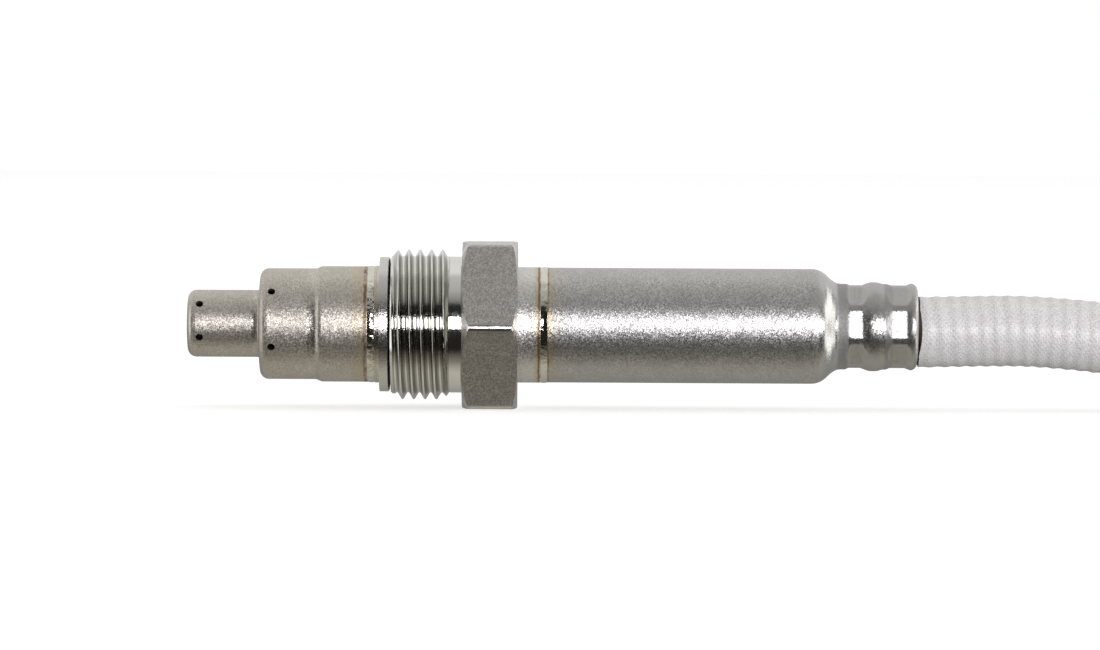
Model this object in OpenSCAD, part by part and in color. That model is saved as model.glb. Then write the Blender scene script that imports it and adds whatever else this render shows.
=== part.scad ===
// Nitrogen oxide sensor probe with its swivel mounting nut, lead and connector.
// Millimetres. The probe lies along X: the tip points to -X and the lead leaves to +X.
// The origin is the centre of the seat face, where the collar meets the exhaust boss.

/* [Outer protection cover] */
// Diameter of the rear part that is welded to the shell
cover_seat_d = 15.4; // [15.1:0.05:15.6]
// Diameter of the body in front of the swage
cover_body_d = 14.78; // [13.8:0.05:15]
// Diameter of the tip
cover_tip_d = 8.94; // [8.4:0.05:10]
// Sheet thickness
cover_wall = 0.45; // [0.35:0.05:0.5]
// Length of the rear part
cover_seat_l = 6.95; // [6.5:0.05:8]
// Length of the swage between the rear part and the body
cover_swage_l = 1; // [0.6:0.1:2]
// Length of the body
cover_body_l = 7.35; // [6:0.05:10]
// Length of the tip
cover_tip_l = 9.65; // [8:0.05:13]
// Outside radius where the body turns in to the tip
cover_shoulder_r = 1.15; // [0.5:0.05:1.3]
// Outside radius at the front of the tip
cover_nose_r = 1.15; // [0.5:0.05:1.3]
// Diameter of a gas hole
gas_hole_d = 1; // [0.6:0.1:1.4]
// Gas holes in each row
gas_holes = 6; // [4:2:10]
// Distance of each row from the front of its step
gas_hole_set = 1.7; // [1.4:0.1:2.5]
// Turn of the rows about the axis, in degrees
gas_hole_turn = 37; // [0:1:60]

/* [Inner protection cover] */
// Diameter of the inner cover's body
inner_body_d = 11.4; // [11.2:0.05:11.8]
// Diameter of the inner cover's tip
inner_tip_d = 6.6; // [5:0.1:7]
// Sheet thickness
inner_wall = 0.35; // [0.25:0.05:0.4]
// Gap between the two covers' end faces
cover_gap = 0.5; // [0.3:0.1:0.9]
// Diameter of a hole in the inner cover's body
inner_hole_d = 1.3; // [0.8:0.1:1.8]
// Distance of that row of holes from the inner cover's open end
inner_hole_set = 4.2; // [3.4:0.1:5.5]
// Diameter of the hole in the inner cover's front face
inner_outlet_d = 2; // [1:0.1:3]

/* [Main shell] */
// Diameter of the collar that seals on the boss
collar_d = 17.94; // [17:0.02:18.4]
// Thickness of the collar
collar_t = 1.3; // [1:0.05:2]
// Bevel on the collar's rear edge
collar_bevel = 0.15; // [0.05:0.05:0.3]
// Diameter of the land in front of the collar
land_d = 15.6; // [15.5:0.02:16]
// Length of the land
land_l = 0.62; // [0.4:0.02:1]
// Diameter of the barrel that carries the nut
barrel_d = 15.4; // [15.2:0.02:15.8]
// Length of the barrel from the collar to the rear weld
barrel_l = 20.1; // [19:0.05:24]
// Length of the spigot inside the casing
spigot_l = 4.4; // [3:0.1:6]
// Length of the neck that carries the outer cover
outer_neck_l = 4; // [3:0.1:5]
// Length of the neck that carries the inner cover
inner_neck_l = 2.4; // [1.5:0.1:3]
// Bore for the ceramics
ceramic_bore_d = 10.8; // [10.2:0.05:11.4]
// Bore in front, round the nose of the front insulator
front_bore_d = 7.5; // [6.6:0.05:8]
// Thickness of the lip that is turned in over the packing ring
lip_t = 0.9; // [0.6:0.05:1.2]
// How far that lip reaches inwards
lip_reach = 0.8; // [0.4:0.05:1.2]

/* [Mounting nut] */
// Major diameter of the thread
thread_d = 20; // [19.6:0.05:20.4]
// Length of the full thread
thread_l = 6.4; // [5:0.1:9]
// Length of the tapered lead of the thread
lead_in_l = 0.93; // [0.6:0.01:1.4]
// Diameter of the relief behind the thread
relief_d = 18.14; // [17.4:0.02:18.4]
// Length of the relief
relief_l = 2.15; // [1.5:0.05:3]
// Width across the hexagon's flats
hex_af = 22; // [21.5:0.1:24]
// Length of the hexagon
hex_l = 7.35; // [6:0.05:9]
// Length of the bevel on the hexagon's front corners
hex_front_bevel = 0.9; // [0.4:0.05:1.2]
// Length of the bevel on the hexagon's rear corners
hex_rear_bevel = 0.65; // [0.4:0.05:1.2]
// Gap between the collar and the nut
nut_gap = 0.2; // [0.15:0.01:0.4]
// Radial running clearance of the nut on the barrel
nut_clear = 0.08; // [0.05:0.01:0.1]

/* [Sensing element] */
// Width of the zirconia strip
element_w = 5; // [4.6:0.1:5.2]
// Thickness of the strip
element_t = 1.4; // [1.2:0.05:1.6]
// Length of the strip
element_l = 61.5; // [60:0.5:64]
// How far the strip reaches in front of the seat face
element_reach = 14.2; // [11:0.1:14.4]
// Clearance round the strip in the ceramics
slot_clear = 0.05; // [0.03:0.01:0.1]

/* [Ceramic stack] */
// Length of the front insulator behind its shoulder
front_insulator_l = 8.2; // [7:0.1:9]
// Length of the front insulator's nose
insulator_nose_l = 4.6; // [3.5:0.1:5]
// Length of the front talc ring
front_talc_l = 4; // [3:0.1:5]
// Length of the middle insulator
middle_insulator_l = 4; // [3:0.1:5]
// Length of the rear talc ring
rear_talc_l = 4.5; // [3.5:0.1:5.5]
// Depth of the ceramics' shoulder in front of the seat face
stack_set = 2.2; // [1.5:0.1:2.8]
// Thickness of the packing ring
packing_t = 0.8; // [0.5:0.05:1.2]

/* [Casing tube] */
// Outside diameter
casing_d = 15.32; // [15.1:0.02:15.5]
// Wall of the tube
casing_wall = 0.5; // [0.4:0.05:0.55]
// Length from the rear weld to the shoulder
casing_l = 36.07; // [34:0.05:45]
// Outside radius of the shoulder
shoulder_r = 2.87; // [2:0.01:3.2]
// Inside radius of the sweep from the shoulder into the neck
sweep_r = 4; // [2.6:0.05:4.5]
// Height of a weld bead over the tube
bead_h = 0.08; // [0.04:0.01:0.1]
// Width of a weld bead
bead_w = 0.9; // [0.7:0.05:1]

/* [Crimped neck] */
// Diameter at the bottom of a crimp
crimp_d = 10.86; // [10.6:0.02:11.1]
// Width of the first crimp
crimp_1_w = 0.95; // [0.8:0.05:1.4]
// Width of the second crimp
crimp_2_w = 1.4; // [1:0.05:1.8]
// Height of the bulge between the crimps, over their bottom
bulge_h = 0.51; // [0.4:0.01:0.7]
// Length of the bulge's rise and of its fall
bulge_flank_l = 2; // [1.6:0.05:2.4]
// Length of the bulge's top
bulge_top_l = 0.5; // [0.3:0.05:1]
// Height of the rim over the crimps' bottom
rim_h = 0.37; // [0.3:0.01:0.5]
// Length of the rise from the second crimp to the rim
rim_flank_l = 1.3; // [0.9:0.05:1.6]
// Outside radius of the rolled rim
rim_roll_r = 0.88; // [0.75:0.01:0.95]
// Crimping jaws round the neck
jaws = 8; // [6:2:10]
// Height of the ridges that the jaws leave between them
jaw_ridge_h = 0.29; // [0.2:0.01:0.3]
// How far a jaw's flat print runs on into the bulge or the rim
jaw_overrun = 0.6; // [0.4:0.05:0.8]
// Turn of the jaws about the axis, in degrees
jaw_turn = -5; // [-20:1:20]

/* [Contact unit] */
// Diameter of the two ceramic halves
housing_d = 11.2; // [10.8:0.1:11.8]
// Length of the halves
housing_l = 16; // [15:0.5:18]
// Length of the strip that the halves grip
grip_l = 15; // [14:0.5:15]
// Distance between neighbouring contacts
contact_pitch = 1.2; // [1.15:0.05:1.3]
// Width of a contact
contact_w = 0.7; // [0.5:0.05:0.8]
// Thickness of a contact's strip
contact_t = 0.2; // [0.15:0.01:0.25]
// Height of a contact over the element
contact_h = 1.75; // [1.5:0.05:2]
// Radius of a contact's front bend
contact_bend_r = 0.5; // [0.4:0.05:0.6]
// Length of a contact's bowed leg
bow_l = 9; // [8:0.5:10]
// Thickness of the clamp band
clamp_t = 0.45; // [0.3:0.05:0.6]
// Width of the clamp band
clamp_w = 6; // [4:0.5:7]
// Opening of the clamp band, in degrees
clamp_open = 50; // [30:5:80]
// Length of the retainer over the halves
retainer_l = 5; // [3:0.5:6]
// Thickness of the retainer's end wall
retainer_end_t = 0.8; // [0.5:0.1:1.5]
// Length of a wire's crimp ferrule
ferrule_l = 4; // [3:0.5:5]
// Diameter of a crimp ferrule
ferrule_d = 1; // [0.8:0.05:1.1]
// Diameter of an insulated wire
wire_d = 1.1; // [0.9:0.05:1.12]

/* [Grommet] */
// Length of the grommet from its front to the rim's end
grommet_l = 10.9; // [9:0.1:11.2]
// How far the grommet stands out of the rim
grommet_lip = 0.5; // [0.2:0.05:0.8]
// Diameter of the part that stands out
grommet_lip_d = 8.1; // [7.6:0.1:8.8]

/* [Lead] */
// Diameter of the sleeved lead
lead_d = 9.5; // [9:0.1:9.6]

/* [Ties] */
// Thickness of a tie's band
tie_t = 0.8; // [0.6:0.1:1.2]
// Width of a tie
tie_w = 4; // [3:0.5:6]
// Size of a tie's head
tie_head = 3; // [2:0.5:4]

/* [Connector] */
// Width of the housing
plug_w = 22; // [20:0.5:26]
// Height of the housing
plug_h = 12.5; // [12:0.5:16]
// Corner radius of the housing
plug_corner_r = 2.5; // [1.5:0.1:3]
// Length of the housing behind the nose
plug_body_l = 18; // [14:0.5:24]
// Length of the cap behind the housing
plug_cap_l = 8; // [6:0.5:12]
// Length of the round cable entry
plug_entry_l = 4; // [3:0.5:6]
// Diameter of the round cable entry
plug_entry_d = 12; // [11:0.1:12]
// Width of the nose
nose_w = 17.4; // [17:0.1:18.5]
// Height of the nose
nose_h = 9; // [8.6:0.1:10]
// Length of the nose
nose_l = 14; // [12:0.5:18]
// Thickness of the seal round the nose
nose_seal_t = 1.1; // [0.8:0.1:1.4]
// Length of the seal
nose_seal_l = 4; // [3:0.5:5]
// Distance between neighbouring cavities
cavity_pitch = 4; // [3.8:0.1:4.2]
// Width of a square cavity
cavity_w = 2.1; // [1.9:0.1:2.3]
// Depth of the pocket for the lock plate
plate_t = 1.5; // [1:0.1:2]
// Diameter of a socket contact
socket_d = 1.9; // [1.6:0.1:1.9]
// Bore of a socket contact
socket_bore_d = 1; // [0.8:0.1:1.2]
// Length of a socket contact
socket_l = 9; // [7:0.5:10]
// Height of the lock ramp over the housing
ramp_h = 1.8; // [1:0.1:2.5]
// Length of the lock ramp
ramp_l = 6; // [4:0.5:8]
// Width of the lock ramp
ramp_w = 7; // [5:0.5:10]

/* [Hidden] */
fit = 0.02;             // gap between pieces of one body that are pressed or welded together
curve_fn = 96;          // steps of a turned surface
small_fn = 32;          // steps of a small round
arc_steps = 6;          // chords in an arc of a turned outline
axis_cut = 0.01;        // how far a cut runs past a face
rows = 4;               // contacts on each side of the element

// Places along X, from the seat face
cover_x1 = -land_l - fit;
cover_swage_x1 = cover_x1 - cover_seat_l;
cover_swage_x0 = cover_swage_x1 - cover_swage_l;
cover_step_x = cover_swage_x0 - cover_body_l;
cover_x0 = cover_step_x - cover_tip_l;
outer_neck_x0 = -land_l - outer_neck_l;
shell_x0 = outer_neck_x0 - inner_neck_l;
weld_x = collar_t + barrel_l;
shell_x1 = weld_x + spigot_l;
nut_x0 = collar_t + nut_gap;
thread_x0 = nut_x0 + lead_in_l;
thread_x1 = thread_x0 + thread_l;
hex_x0 = thread_x1 + relief_l;
hex_x1 = hex_x0 + hex_l;
element_x0 = -element_reach;
element_x1 = element_x0 + element_l;
housing_x0 = element_x1 - grip_l;
housing_x1 = housing_x0 + housing_l;

// Radii that follow from the fits
neck_r = cover_seat_d / 2 - cover_wall - fit;
inner_neck_r = inner_body_d / 2 - inner_wall - fit;
casing_r = casing_d / 2;
casing_bore_r = casing_r - casing_wall;
nut_bore_r = barrel_d / 2 + nut_clear;
ceramic_r = ceramic_bore_d / 2 - fit;
hex_corner_r = hex_af / 2 / cos(30);

// The ceramics fill the shell from the shoulder to the turned lip
front_talc_x0 = -stack_set + front_insulator_l;
middle_x0 = front_talc_x0 + front_talc_l;
rear_talc_x0 = middle_x0 + middle_insulator_l;
rear_insulator_x0 = rear_talc_x0 + rear_talc_l;
lip_x = shell_x1 - lip_t;
packing_x0 = lip_x - packing_t;

// The neck of the casing, from the shoulder to the rim
crimp_r = crimp_d / 2;
shoulder_x = weld_x + casing_l;
shoulder_slope = acos(1 - (casing_r - crimp_r) / (shoulder_r + sweep_r));
crimp_1_x = shoulder_x + (shoulder_r + sweep_r) * sin(shoulder_slope);
bulge_x = crimp_1_x + crimp_1_w;
crimp_2_x = bulge_x + 2 * bulge_flank_l + bulge_top_l;
rim_flank_x = crimp_2_x + crimp_2_w;
rim_x = rim_flank_x + rim_flank_l;
rim_end_x = rim_x + rim_roll_r;
mouth_r = crimp_r + rim_h - rim_roll_r;
grommet_x0 = rim_end_x - grommet_l;
grommet_x1 = rim_end_x + grommet_lip;

// Wires and contacts
element_top = element_t / 2;
contact_top = element_top + contact_h;
wire_z = contact_top - contact_t / 2;
contact_x0 = housing_x0 + 1.5;
contact_x1 = housing_x1 + retainer_end_t + 0.6;
ferrule_x1 = contact_x1 + ferrule_l;
wire_places = [
    for (side = [-1, 1])
    for (i = [0 : rows - 1])
    [(i - (rows - 1) / 2) * contact_pitch, side * wire_z]
];

// The floor is the plane of the nut's lowest flat, and the hank lies on its ties
floor_z = -hex_af / 2;
tie_gap = 0.05;
hank_z = floor_z + tie_t + tie_gap;
lead_r = lead_d / 2;
lead_z = hank_z + lead_r;
hank_fold_r = 28.5;
hank_x0 = 147;
hank_x1 = 225;
hank_y0 = -9.5;
hank_y1 = hank_y0 + 2 * hank_fold_r;
hank_tail_l = 24;
tie_places = [[186, hank_y0], [213, hank_y1]];

// The lead's route from the grommet to the hank, chosen by hand
lead_route = [
    [grommet_x1, 0.2, -0.7], [76, 0.2, -0.6], [81, 0.2, -0.5], [86, 0.1, -0.5],
    [91, 0, -0.8], [96, -0.2, -1.3], [101, -0.6, -2.1], [106, -1.2, -3.1],
    [111, -2.1, -4.1], [116, -3.3, -4.9], [121, -4.7, -5.4], [126, -6.2, lead_z],
    [131, -7.6, lead_z], [136, -8.7, lead_z], [141, -9.3, lead_z], [hank_x0, hank_y0, lead_z]
];
lead_sides = 12;

// The connector lies on the hank's rear run, its nose towards -X
plug_x = hank_x1 - hank_tail_l;
plug_z = hank_z + lead_d + plug_h / 2;
plug_body_x = plug_entry_l + plug_cap_l;
nose_x = plug_body_x + plug_body_l;
nose_x1 = nose_x + nose_l;
cavity_places = [
    for (z = [-1, 1])
    for (i = [0 : 3])
    [(i - 1.5) * cavity_pitch, z * cavity_pitch / 2]
];

// Points of an arc about [x, r], from angle a0 to a1
function arc(x, r, radius, a0, a1) = [
    for (i = [0 : arc_steps])
    let (a = a0 + (a1 - a0) * i / arc_steps)
    [x + radius * cos(a), r + radius * sin(a)]
];

// A soft step of height h from x over the length l
function ease(x, r, l, h) = [
    for (i = [0 : arc_steps])
    let (u = i / arc_steps)
    [x + l * u, r + h * (1 - cos(180 * u)) / 2]
];

// A weld bead that stands on the radius r
function bead(x, r) = [
    for (i = [0 : arc_steps])
    let (u = i / arc_steps)
    [x + bead_w * u, r + bead_h * sin(180 * u)]
];

// The casing's surface behind the straight part, moved inwards by t
function neck(t) = concat(
    arc(shoulder_x, casing_r - shoulder_r, shoulder_r - t, 90, 90 - shoulder_slope),
    arc(crimp_1_x, crimp_r + sweep_r, sweep_r + t, 270 - shoulder_slope, 270),
    ease(bulge_x, crimp_r - t, bulge_flank_l, bulge_h),
    ease(bulge_x + bulge_flank_l + bulge_top_l, crimp_r + bulge_h - t, bulge_flank_l,
        -bulge_h),
    ease(rim_flank_x, crimp_r - t, rim_flank_l, rim_h),
    arc(rim_x, mouth_r, rim_roll_r - t, 90, 0)
);

function reversed(list) = [for (i = [len(list) - 1 : -1 : 0]) list[i]];

// Turns its children so that their Z runs along X
module along_x() {
    rotate([0, 90, 0]) children();
}

// Turns an outline of [x, radius] points about the X axis
module turned(points) {
    along_x()
        rotate_extrude($fn = curve_fn)
            polygon([for (p = points) [p[1], p[0]]]);
}

// A straight round bar along X
module bar_x(x0, x1, d, fn = curve_fn) {
    translate([x0, 0, 0]) along_x() cylinder(h = x1 - x0, d = d, $fn = fn);
}

// A box along X, centred on the axis
module box_x(x0, x1, w, h) {
    translate([x0, -w / 2, -h / 2]) cube([x1 - x0, w, h]);
}

// A box along X with rounded long edges
module rounded_bar_x(x0, x1, w, h, r) {
    translate([x0, 0, 0])
        rotate([90, 0, 90])
            linear_extrude(height = x1 - x0)
                rounded_outline(w, h, r);
}

module rounded_outline(w, h, r) {
    square([w - 2 * r, h], center = true);
    square([w, h - 2 * r], center = true);
    for (sx = [-1, 1])
        for (sy = [-1, 1])
            translate([sx * (w / 2 - r), sy * (h / 2 - r)]) circle(r = r, $fn = small_fn);
}

// Round holes through both walls of a cover, spread evenly about X
module gas_hole_row(x, d, turn) {
    for (i = [0 : gas_holes / 2 - 1])
        translate([x, 0, 0])
            rotate([90 - turn - i * 360 / gas_holes, 0, 0])
                cylinder(h = cover_seat_d, d = d, center = true, $fn = small_fn);
}

// The slot for the strip through a ceramic
module element_slot(x0, x1) {
    box_x(x0 - axis_cut, x1 + axis_cut, element_w + 2 * slot_clear,
        element_t + 2 * slot_clear);
}

// Stepped deep-drawn cup, open at the rear, with its weld bead on the open end
module outer_cover() {
    seat_r = cover_seat_d / 2;
    body_r = cover_body_d / 2;
    tip_r = cover_tip_d / 2;
    shoulder_x0 = cover_step_x + cover_shoulder_r;
    nose_x0 = cover_x0 + cover_nose_r;
    outside = concat(
        [[cover_x1, seat_r]],
        reversed(bead(cover_x1 - bead_w, seat_r)),
        ease(cover_swage_x1, seat_r, -cover_swage_l, body_r - seat_r),
        arc(shoulder_x0, body_r - cover_shoulder_r, cover_shoulder_r, 90, 180),
        arc(cover_step_x - cover_wall, tip_r + cover_wall, cover_wall, 0, -90),
        arc(nose_x0, tip_r - cover_nose_r, cover_nose_r, 90, 180),
        [[cover_x0, 0]]
    );
    inside = concat(
        [[cover_x0 + cover_wall, 0]],
        arc(nose_x0, tip_r - cover_nose_r, cover_nose_r - cover_wall, 180, 90),
        [[cover_step_x + cover_wall, tip_r - cover_wall]],
        arc(shoulder_x0, body_r - cover_shoulder_r, cover_shoulder_r - cover_wall, 180, 90),
        reversed(ease(cover_swage_x1, seat_r - cover_wall, -cover_swage_l, body_r - seat_r)),
        [[cover_x1, seat_r - cover_wall]]
    );
    color("lightgray")
        difference() {
            turned(concat(outside, inside));
            gas_hole_row(cover_x0 + gas_hole_set, gas_hole_d, gas_hole_turn);
            gas_hole_row(cover_step_x + gas_hole_set, gas_hole_d, gas_hole_turn);
        }
}

// The second cup, which keeps the exhaust gas from blowing straight on the element
module inner_cover() {
    body_r = inner_body_d / 2;
    tip_r = inner_tip_d / 2;
    x1 = outer_neck_x0 - fit;
    step_x = cover_step_x + cover_wall + cover_gap;
    x0 = cover_x0 + cover_wall + cover_gap;
    color("silver")
        difference() {
            turned([
                [x1, body_r], [step_x + inner_wall, body_r], [step_x, body_r - inner_wall],
                [step_x, tip_r], [x0 + inner_wall, tip_r], [x0, tip_r - inner_wall],
                [x0, inner_outlet_d / 2], [x0 + inner_wall, inner_outlet_d / 2],
                [x0 + inner_wall, tip_r - inner_wall],
                [step_x + inner_wall, tip_r - inner_wall],
                [step_x + inner_wall, body_r - inner_wall], [x1, body_r - inner_wall]
            ]);
            gas_hole_row(x1 - inner_hole_set, inner_hole_d, gas_hole_turn + 180 / gas_holes);
        }
}

// Turned steel body with the sealing collar, the nut's barrel and the bored seat of the ceramics
module main_shell() {
    collar_r = collar_d / 2;
    bore_r = ceramic_bore_d / 2;
    color("gray")
        turned([
            [shell_x0, front_bore_d / 2], [shell_x0, inner_neck_r],
            [outer_neck_x0, inner_neck_r], [outer_neck_x0, neck_r], [-land_l, neck_r],
            [-land_l, land_d / 2], [0, land_d / 2], [0, collar_r],
            [collar_t - collar_bevel, collar_r], [collar_t, collar_r - collar_bevel],
            [collar_t, barrel_d / 2], [weld_x, barrel_d / 2],
            [weld_x, casing_bore_r - fit], [shell_x1, casing_bore_r - fit],
            [shell_x1, bore_r - lip_reach], [lip_x, bore_r - lip_reach],
            [lip_x, bore_r], [-stack_set, bore_r], [-stack_set, front_bore_d / 2]
        ]);
}

// Captive hexagon nut: the thread's major diameter is plain, with its tapered lead
module mounting_nut() {
    lead_r = relief_d / 2;
    color("darkgray")
        difference() {
            union() {
                turned([
                    [nut_x0, 0], [nut_x0, lead_r], [thread_x0, thread_d / 2],
                    [thread_x1, thread_d / 2], [thread_x1 + thread_d / 2 - lead_r, lead_r],
                    [hex_x0, lead_r], [hex_x0, 0]
                ]);
                intersection() {
                    translate([hex_x0, 0, 0])
                        along_x() rotate([0, 0, 30])
                            cylinder(h = hex_l, r = hex_corner_r, $fn = 6);
                    turned([
                        [hex_x0, 0], [hex_x0, hex_af / 2],
                        [hex_x0 + hex_front_bevel, hex_corner_r],
                        [hex_x1 - hex_rear_bevel, hex_corner_r],
                        [hex_x1, hex_af / 2], [hex_x1, 0]
                    ]);
                }
            }
            bar_x(nut_x0 - axis_cut, hex_x1 + axis_cut, 2 * nut_bore_r);
        }
}

// Laminated zirconia strip
module sensing_element() {
    color("white") box_x(element_x0, element_x1, element_w, element_t);
}

// A ceramic or talc disc of the stack
module stack_ring(x0, x1) {
    difference() {
        bar_x(x0, x1, 2 * ceramic_r);
        element_slot(x0, x1);
    }
}

module front_insulator() {
    nose_x0 = -stack_set - insulator_nose_l;
    color("ivory")
        difference() {
            union() {
                bar_x(nose_x0, -stack_set + axis_cut + fit, front_bore_d - 2 * fit);
                bar_x(-stack_set + fit, front_talc_x0 - fit, 2 * ceramic_r);
            }
            element_slot(nose_x0, front_talc_x0);
        }
}

module front_talc_ring() {
    color("beige") stack_ring(front_talc_x0, middle_x0 - fit);
}

module middle_insulator() {
    color("ivory") stack_ring(middle_x0, rear_talc_x0 - fit);
}

module rear_talc_ring() {
    color("beige") stack_ring(rear_talc_x0, rear_insulator_x0 - fit);
}

module rear_insulator() {
    color("ivory") stack_ring(rear_insulator_x0, packing_x0 - fit);
}

// Soft metal ring that the turned lip presses on the ceramics
module packing_ring() {
    color("slategray")
        difference() {
            bar_x(packing_x0, lip_x - fit, 2 * ceramic_r);
            bar_x(packing_x0 - axis_cut, lip_x, ceramic_bore_d - 2 * lip_reach);
        }
}

// Print of one crimping jaw, on the side that faces +Z
module jaw_print(x, w) {
    slope_l = bulge_flank_l * 0.6;
    rise = 2 * jaw_ridge_h;
    translate([0, 0, crimp_r])
        rotate([90, 0, 0])
            linear_extrude(height = crimp_r, center = true)
                polygon([
                    [x - slope_l, rise], [x, 0], [x + w, 0], [x + w + slope_l, rise]
                ]);
}

// Drawn tube: weld bead, straight part, shoulder, two crimps with jaw prints, rolled rim
module casing_tube() {
    ridge_r = crimp_r + jaw_ridge_h;
    outside = concat(
        [[weld_x + fit, casing_r]],
        bead(weld_x + fit, casing_r),
        [for (p = neck(0)) p[0] < rim_x ? [p[0], max(p[1], ridge_r)] : p]
    );
    inside = concat([[weld_x + fit, casing_bore_r]], neck(casing_wall));
    color("silver")
        difference() {
            turned(concat(outside, reversed(inside)));
            for (i = [0 : jaws - 1])
                rotate([i * 360 / jaws + jaw_turn, 0, 0]) {
                    jaw_print(crimp_1_x, crimp_1_w + jaw_overrun);
                    jaw_print(crimp_2_x, crimp_2_w + jaw_overrun);
                }
        }
}

// Ceramic half above the element, with a groove for each contact and one for the band
module contact_half() {
    groove_w = contact_w + 0.2;
    groove_top = contact_top + 0.1;
    difference() {
        bar_x(housing_x0, housing_x1, housing_d);
        translate([housing_x0 - axis_cut, -housing_d, -housing_d + fit])
            cube([housing_l + 2 * axis_cut, 2 * housing_d, housing_d]);
        element_slot(housing_x0, element_x1);
        for (i = [0 : rows - 1])
            translate([contact_x0 - 0.3, wire_places[i][0] - groove_w / 2, 0])
                cube([housing_l, groove_w, groove_top]);
        difference() {
            bar_x(clamp_x0(), clamp_x0() + clamp_w + 2 * fit, housing_d + 1);
            bar_x(clamp_x0() - 1, clamp_x0() + clamp_w + 1, housing_d - 2 * clamp_t);
        }
    }
}

// The band sits in the middle of the part of the halves that the retainer leaves bare
function clamp_x0() = housing_x0 + (housing_l - retainer_l - clamp_w) / 2;

module upper_contact_housing() {
    color("ivory") contact_half();
}

module lower_contact_housing() {
    color("ivory") mirror([0, 0, 1]) contact_half();
}

// Folded spring strip: a tail to the wire, a bend in front and a leg that bows to the element
module contact_strip() {
    touch_z = element_top + fit;
    leg_z = contact_top - 2 * contact_bend_r;
    sag = leg_z - touch_z;
    bow_r = (bow_l * bow_l / 4 + sag * sag) / (2 * sag);
    bend_x = contact_x0 + contact_bend_r;
    rotate([90, 0, 0])
        linear_extrude(height = contact_w, center = true) {
            translate([bend_x, contact_top - contact_t])
                square([contact_x1 - bend_x, contact_t]);
            difference() {
                translate([bend_x, contact_top - contact_bend_r])
                    circle(r = contact_bend_r, $fn = small_fn);
                translate([bend_x, contact_top - contact_bend_r])
                    circle(r = contact_bend_r - contact_t, $fn = small_fn);
                translate([bend_x, leg_z - 1])
                    square([2 * contact_bend_r, 2 * contact_bend_r + 2]);
            }
            intersection() {
                translate([bend_x + bow_l / 2, touch_z + bow_r])
                    difference() {
                        circle(r = bow_r, $fn = curve_fn);
                        circle(r = bow_r - contact_t, $fn = curve_fn);
                    }
                translate([bend_x - 0.05, touch_z - 1])
                    square([bow_l, sag + 1 + contact_t]);
            }
        }
}

module contact_row() {
    for (i = [0 : rows - 1])
        translate([0, wire_places[i][0], 0]) contact_strip();
}

module upper_contacts() {
    color("goldenrod") contact_row();
}

module lower_contacts() {
    color("goldenrod") mirror([0, 0, 1]) contact_row();
}

// Open spring band that presses the two halves together
module clamp_band() {
    x0 = clamp_x0() + fit;
    color("steelblue")
        translate([x0, 0, 0])
            along_x()
                rotate([0, 0, 90 + clamp_open / 2])
                    rotate_extrude(angle = 360 - clamp_open, $fn = curve_fn)
                        translate([housing_d / 2 - clamp_t + fit, 0])
                            square([clamp_t, clamp_w]);
}

// Metal cup that carries the halves in the casing
module housing_retainer() {
    x0 = housing_x1 - retainer_l;
    x1 = housing_x1 + fit + retainer_end_t;
    color("silver")
        turned([
            [x0, housing_d / 2 + fit], [x0, casing_bore_r - fit], [x1, casing_bore_r - fit],
            [x1, housing_d / 2 - 1.2], [housing_x1 + fit, housing_d / 2 - 1.2],
            [housing_x1 + fit, housing_d / 2 + fit]
        ]);
}

module crimp_ferrules() {
    color("silver")
        for (p = wire_places)
            translate([0, p[0], p[1]]) bar_x(contact_x1 + fit, ferrule_x1, ferrule_d, small_fn);
}

module lead_wires() {
    color("whitesmoke")
        for (p = wire_places)
            translate([0, p[0], p[1]]) bar_x(ferrule_x1 + fit, grommet_x1, wire_d, small_fn);
}

// Rubber plug that the crimps squeeze round the wires
module cable_grommet() {
    lip_r = grommet_lip_d / 2;
    lip_round = grommet_lip * 0.75;
    grip = neck(casing_wall + fit);
    inside_neck = [for (p = grip) if (p[0] > grommet_x0) p];
    color("saddlebrown")
        difference() {
            turned(concat(
                [[grommet_x0, 0], [grommet_x0, inside_neck[0][1]]],
                inside_neck,
                [[rim_end_x - casing_wall, mouth_r - fit], [rim_end_x - casing_wall, lip_r]],
                arc(grommet_x1 - lip_round, lip_r - lip_round, lip_round, 90, 0),
                [[grommet_x1, 0]]
            ));
            for (p = wire_places)
                translate([0, p[0], p[1]])
                    bar_x(grommet_x0 - 1, grommet_x1 + 1, wire_d + 2 * fit, small_fn);
        }
}

function unit(v) = v / norm(v);

// A ring of points about route point i, square to the route
function lead_ring(i) =
    let (
        last = len(lead_route) - 1,
        ahead = unit(lead_route[min(i + 1, last)] - lead_route[max(i - 1, 0)]),
        along = i == 0 || i == last ? [1, 0, 0] : ahead,
        side = unit(cross([0, 0, 1], along)),
        up = cross(along, side)
    )
    [
        for (k = [0 : lead_sides - 1])
        let (a = 360 * (k + 0.5) / lead_sides)
        lead_route[i] + lead_r * (cos(a) * side + sin(a) * up)
    ];

// The sleeved lead where it isn't folded up
module lead_sleeve() {
    count = len(lead_route);
    points = [for (i = [0 : count - 1]) each lead_ring(i)];
    walls = [
        for (i = [0 : count - 2])
        for (k = [0 : lead_sides - 1])
        let (a = i * lead_sides + k, b = i * lead_sides + (k + 1) % lead_sides)
        [a, b, b + lead_sides, a + lead_sides]
    ];
    front = [for (k = [lead_sides - 1 : -1 : 0]) k];
    back = [for (k = [0 : lead_sides - 1]) (count - 1) * lead_sides + k];
    color("gainsboro") polyhedron(points, concat(walls, [front, back]));
}

// Half of a ring in the plan of the hank, on the side of x where s is -1 or 1
module fold(x, s) {
    translate([x, hank_y0 + hank_fold_r])
        intersection() {
            difference() {
                circle(r = hank_fold_r + lead_r, $fn = curve_fn);
                circle(r = hank_fold_r - lead_r, $fn = curve_fn);
            }
            translate([s > 0 ? 0 : -hank_fold_r * 2, -hank_fold_r * 2])
                square(hank_fold_r * [2, 4]);
        }
}

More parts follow.
